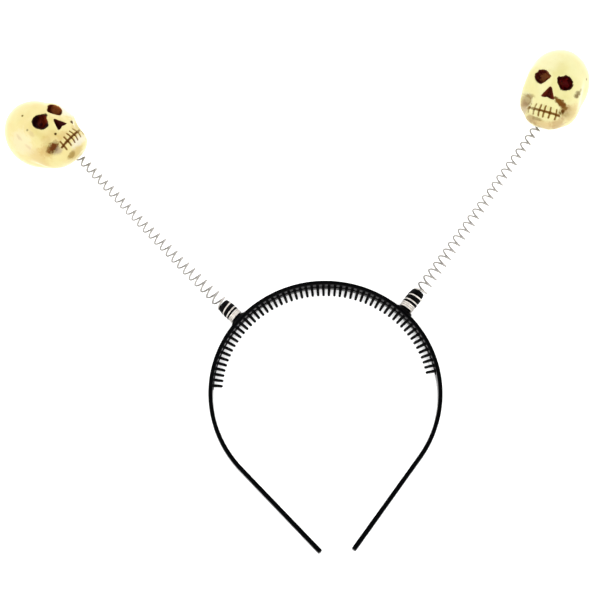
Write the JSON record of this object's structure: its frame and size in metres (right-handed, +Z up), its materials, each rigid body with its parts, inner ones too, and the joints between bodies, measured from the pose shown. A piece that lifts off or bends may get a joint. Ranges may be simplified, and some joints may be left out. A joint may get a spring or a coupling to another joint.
{
  "type": "skull headband",
  "caption": "Narrow black plastic headband with comb teeth inside and two coil springs on posts, each carrying an ivory skull that sways.",
  "frame": {"origin": "under the middle of the whole part, on the surface that it lies on", "axes": "+Z up from that surface, +X along the longest side from the left skull to the right one, +Y from the legs of the headband to the skulls"},
  "size_m": [0.3266, 0.2688, 0.0365],
  "materials": {
    "band_plastic": "glossy black moulding",
    "post_plastic": "black moulding",
    "spring_steel": "bright drawn wire",
    "skull_ivory": "glossy ivory with a brown antique wash"
  },
  "bodies": {
    "band": {"headband": "band_plastic", "post_left": "post_plastic", "post_right": "post_plastic", "spring_left": "spring_steel", "spring_right": "spring_steel"},
    "left_skull": {"skull_left": "skull_ivory"},
    "right_skull": {"skull_right": "skull_ivory"}
  },
  "joints": [
    {"name": "left_sway", "type": "hinge", "parent": "band", "child": "left_skull", "pos_m": [-0.07, 0.0288, 0.0069], "axis": [0, 0, 1], "range_deg": [-30, 30], "stiffness_Nm_per_rad": 0.02, "deforming": ["spring_left"]},
    {"name": "right_sway", "type": "hinge", "parent": "band", "child": "right_skull", "pos_m": [0.079, 0.0284, 0.0069], "axis": [0, 0, 1], "range_deg": [-30, 30], "stiffness_Nm_per_rad": 0.02, "deforming": ["spring_right"]}
  ]
}
